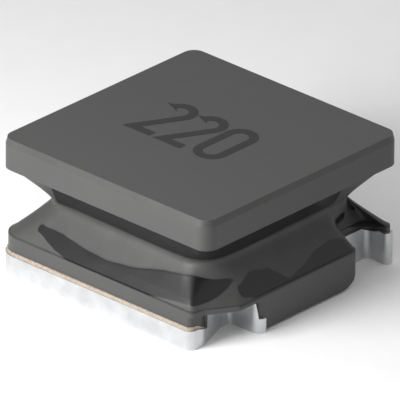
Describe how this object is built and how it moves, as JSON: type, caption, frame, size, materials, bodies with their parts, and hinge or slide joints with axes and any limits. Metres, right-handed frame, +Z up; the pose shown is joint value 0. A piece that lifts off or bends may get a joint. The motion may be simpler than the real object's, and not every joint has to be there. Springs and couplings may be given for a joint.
{
  "type": "shielded smd inductor",
  "caption": "Square surface-mount power inductor: a ferrite drum core with a wire coil closed in by magnetic resin, and tinned pads at both ends of its notched base.",
  "frame": {"origin": "middle of the footprint, at the level of the solder pads", "axes": "+Z up from the pads to the top face; +X from the left terminal to the right one; the two notches of the base are on its -Y side"},
  "size_m": [0.0082, 0.0082, 0.0042],
  "materials": {
    "ferrite": "ground ferrite, dark grey with a soft sheen",
    "enamelled_copper": "enamelled copper wire",
    "resin": "filled resin, matt with darker glossy pools",
    "fired_layer": "dull brown fired metal",
    "tin": "satin tin plating",
    "solder": "satin solder"
  },
  "bodies": {
    "root": {"drum_core": "ferrite", "winding": "enamelled_copper", "resin_shield": "resin", "fired_layer_left": "fired_layer", "fired_layer_right": "fired_layer", "tin_coat_left": "tin", "tin_coat_right": "tin", "solder_joint_left": "solder", "solder_joint_right": "solder"}
  },
  "joints": []
}
